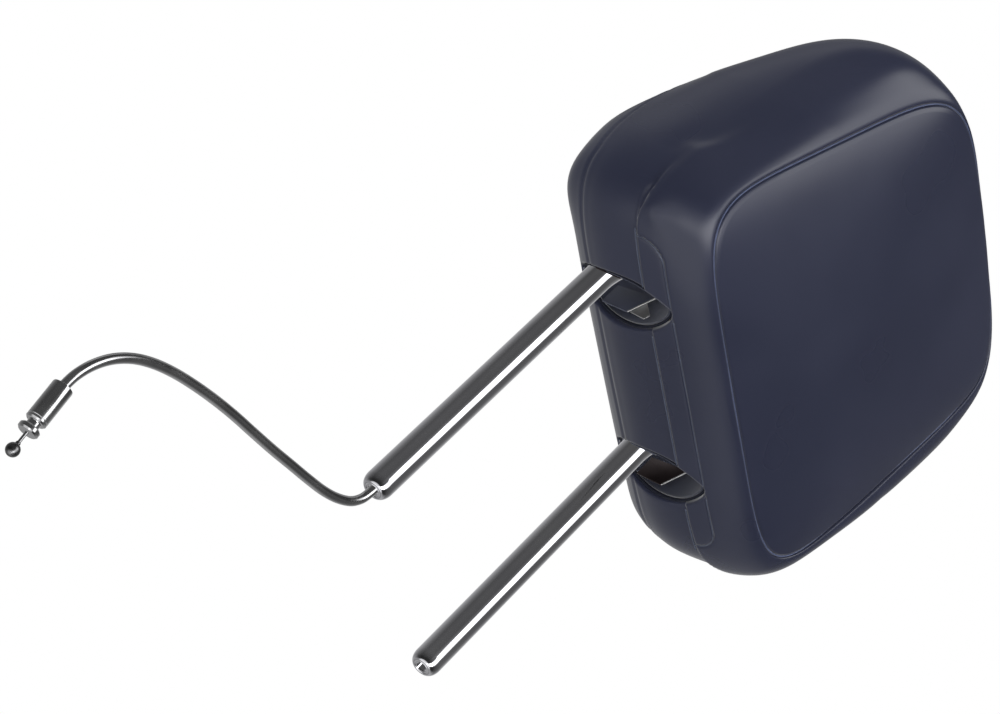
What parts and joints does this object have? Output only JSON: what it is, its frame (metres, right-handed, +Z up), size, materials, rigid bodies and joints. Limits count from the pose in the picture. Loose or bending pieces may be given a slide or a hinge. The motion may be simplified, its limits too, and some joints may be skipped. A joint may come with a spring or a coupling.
{
  "type": "car headrest",
  "caption": "Padded head restraint on a bent steel stay tube, tilting about its crossbar when a cable frees the clutch inside.",
  "frame": {"origin": "midway between the lower ends of the two posts", "axes": "+Z up along the posts, -Y towards the side that the head touches, the cable leaves the post on the -X side"},
  "size_m": [0.3718, 0.1398, 0.5642],
  "materials": {
    "cover_leather": "smooth dark blue leather, satin",
    "foam": "moulded soft foam",
    "core_plastic": "moulded black plastic",
    "stay_chrome": "bright chrome plate",
    "fitting_steel": "zinc-plated steel",
    "spring_steel": "spring wire",
    "cable_steel": "polished steel sheath",
    "bush_nylon": "natural nylon",
    "buffer_rubber": "black rubber"
  },
  "bodies": {
    "armature": {"stay_tube": "stay_chrome", "lever_bracket": "fitting_steel", "clutch_spring": "spring_steel", "inner_sheath": "cable_steel", "cable_sheath": "cable_steel", "sheath_ferrule": "stay_chrome"},
    "release": {"release_lever": "fitting_steel", "cable_nipple": "fitting_steel", "upper_wire": "cable_steel"},
    "cable": {"pull_wire": "cable_steel", "wire_ball": "cable_steel"},
    "cushion": {"core_front": "core_plastic", "core_rear": "core_plastic", "core_screw_1": "fitting_steel", "core_screw_2": "fitting_steel", "core_screw_3": "fitting_steel", "core_screw_4": "fitting_steel", "bush_left": "bush_nylon", "bush_right": "bush_nylon", "clutch_drum": "fitting_steel", "stop_bracket_left": "fitting_steel", "stop_bracket_right": "fitting_steel", "rest_buffer_left": "buffer_rubber", "rest_buffer_right": "buffer_rubber", "foam_front": "foam", "foam_rear": "foam", "cover_front": "cover_leather", "cover_side": "cover_leather", "cover_rear": "cover_leather", "cover_back": "cover_leather", "underside_flap": "cover_leather"}
  },
  "joints": [
    {"name": "cushion_tilt", "type": "hinge", "parent": "armature", "child": "cushion", "pos_m": [0, -0.06, 0.29], "axis": [1, 0, 0], "range_deg": [0, 20]},
    {"name": "lever_turn", "type": "hinge", "parent": "armature", "child": "release", "pos_m": [0, -0.06, 0.29], "axis": [1, 0, 0], "range_deg": [0, 18], "stiffness_Nm_per_rad": 0.4, "springref_deg": -11.46, "deforming": ["upper_wire", "clutch_spring"]},
    {"name": "cable_pull", "type": "slide", "parent": "armature", "child": "cable", "axis": [0.2484, 0, -0.9687], "range_m": [0, 0.0055]}
  ],
  "couplings": [
    {"joint": "cable_pull", "follows": "lever_turn", "m_per_rad": 0.017}
  ]
}
